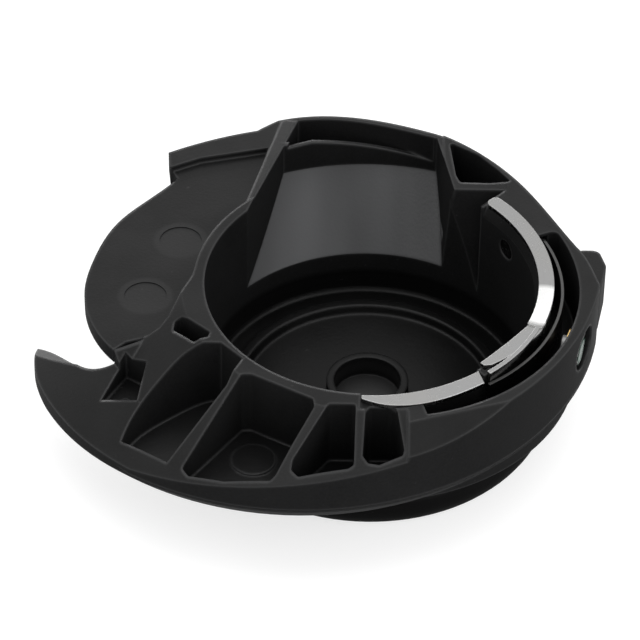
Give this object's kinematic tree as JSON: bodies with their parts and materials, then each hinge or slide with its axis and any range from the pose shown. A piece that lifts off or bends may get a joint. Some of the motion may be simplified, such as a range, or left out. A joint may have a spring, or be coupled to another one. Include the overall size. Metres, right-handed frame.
{
  "type": "sewing machine bobbin case",
  "caption": "Round top-loading bobbin case with a claw-shaped flange, ribbed front, polished thread plate, leaf spring and slotted tension screw.",
  "frame": {"origin": "centre of the flat underside of the cup, on the bobbin chamber's axis", "axes": "+Z along the chamber axis out of its open top; -Y towards the ribbed front with the thread slit; +X towards the tension spring and its screws"},
  "size_m": [0.0431, 0.0398, 0.0129],
  "materials": {
    "black_plastic": "satin moulded",
    "polished_steel": "polished",
    "spring_steel": "bright rolled",
    "screw_steel": "turned, plated",
    "brass": "turned"
  },
  "bodies": {
    "case": {"case_body": "black_plastic", "guide_plate": "polished_steel", "front_strip": "polished_steel", "spring_screw": "screw_steel", "screw_bush": "brass"},
    "leaf": {"tension_spring": "spring_steel"},
    "adjuster": {"tension_screw": "screw_steel"}
  },
  "joints": [
    {"name": "leaf_flex", "type": "hinge", "parent": "case", "child": "leaf", "pos_m": [0.01181, 0.00752, 0.0102], "axis": [0, 0, 1], "range_deg": [0, 1.2], "stiffness_Nm_per_rad": 0.05},
    {"name": "adjuster_turn", "type": "hinge", "parent": "case", "child": "adjuster", "pos_m": [0.01507, -0.00404, 0.01], "axis": [0.9659, -0.2588, 0], "range_deg": [-180, 180]}
  ]
}
